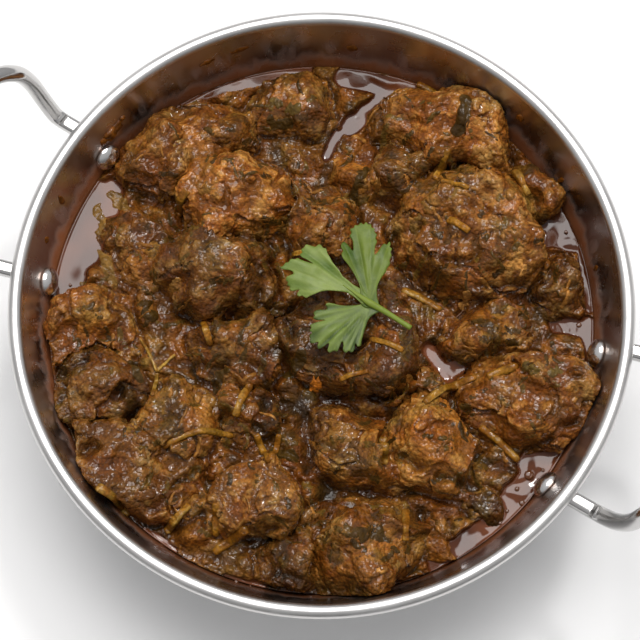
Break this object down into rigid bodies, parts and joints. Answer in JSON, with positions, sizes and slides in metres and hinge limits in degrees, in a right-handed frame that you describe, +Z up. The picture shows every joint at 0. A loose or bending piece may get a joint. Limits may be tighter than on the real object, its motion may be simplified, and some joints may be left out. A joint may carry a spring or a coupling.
{
  "type": "mutton karahi",
  "caption": "Round steel karahi with two upright riveted wire handles, full of uneven mutton pieces in a thick dark herb gravy with a coriander leaf on top.",
  "frame": {"origin": "middle of the flat base, on the surface that the bowl stands on", "axes": "+Z up out of the bowl, +X through the middle of one handle, the other handle on -X"},
  "size_m": [0.2578, 0.201, 0.0916],
  "materials": {
    "steel": "polished stainless steel, lightly scratched, with grease marks inside the bowl",
    "meat": "braised mutton, brown to tan with fibres and herbs, coated in wet gravy",
    "gravy": "thick dark brown herb gravy with mirror smooth oil on its open places",
    "leaf": "fresh green leaf with paler veins, softly shiny",
    "herbs": "cooked stalks and leaf shreds, olive to golden, wet"
  },
  "bodies": {
    "root": {"coriander_leaf": "leaf", "dish": "steel", "gravy": "gravy", "handle_left": "steel", "handle_right": "steel", "meat_01": "meat", "meat_02": "meat", "meat_03": "meat", "meat_04": "meat", "meat_05": "meat", "meat_06": "meat", "meat_07": "meat", "meat_08": "meat", "meat_09": "meat", "meat_10": "meat", "meat_11": "meat", "meat_12": "meat", "meat_13": "meat", "meat_14": "meat", "meat_15": "meat", "meat_16": "meat", "meat_17": "meat", "meat_18": "meat", "meat_19": "meat", "meat_20": "meat", "meat_21": "meat", "meat_22": "meat", "meat_23": "meat", "meat_24": "meat", "meat_25": "meat", "meat_26": "meat", "meat_27": "meat", "meat_28": "meat", "rivet_1": "steel", "rivet_2": "steel", "rivet_3": "steel", "rivet_4": "steel"}
  },
  "joints": []
}
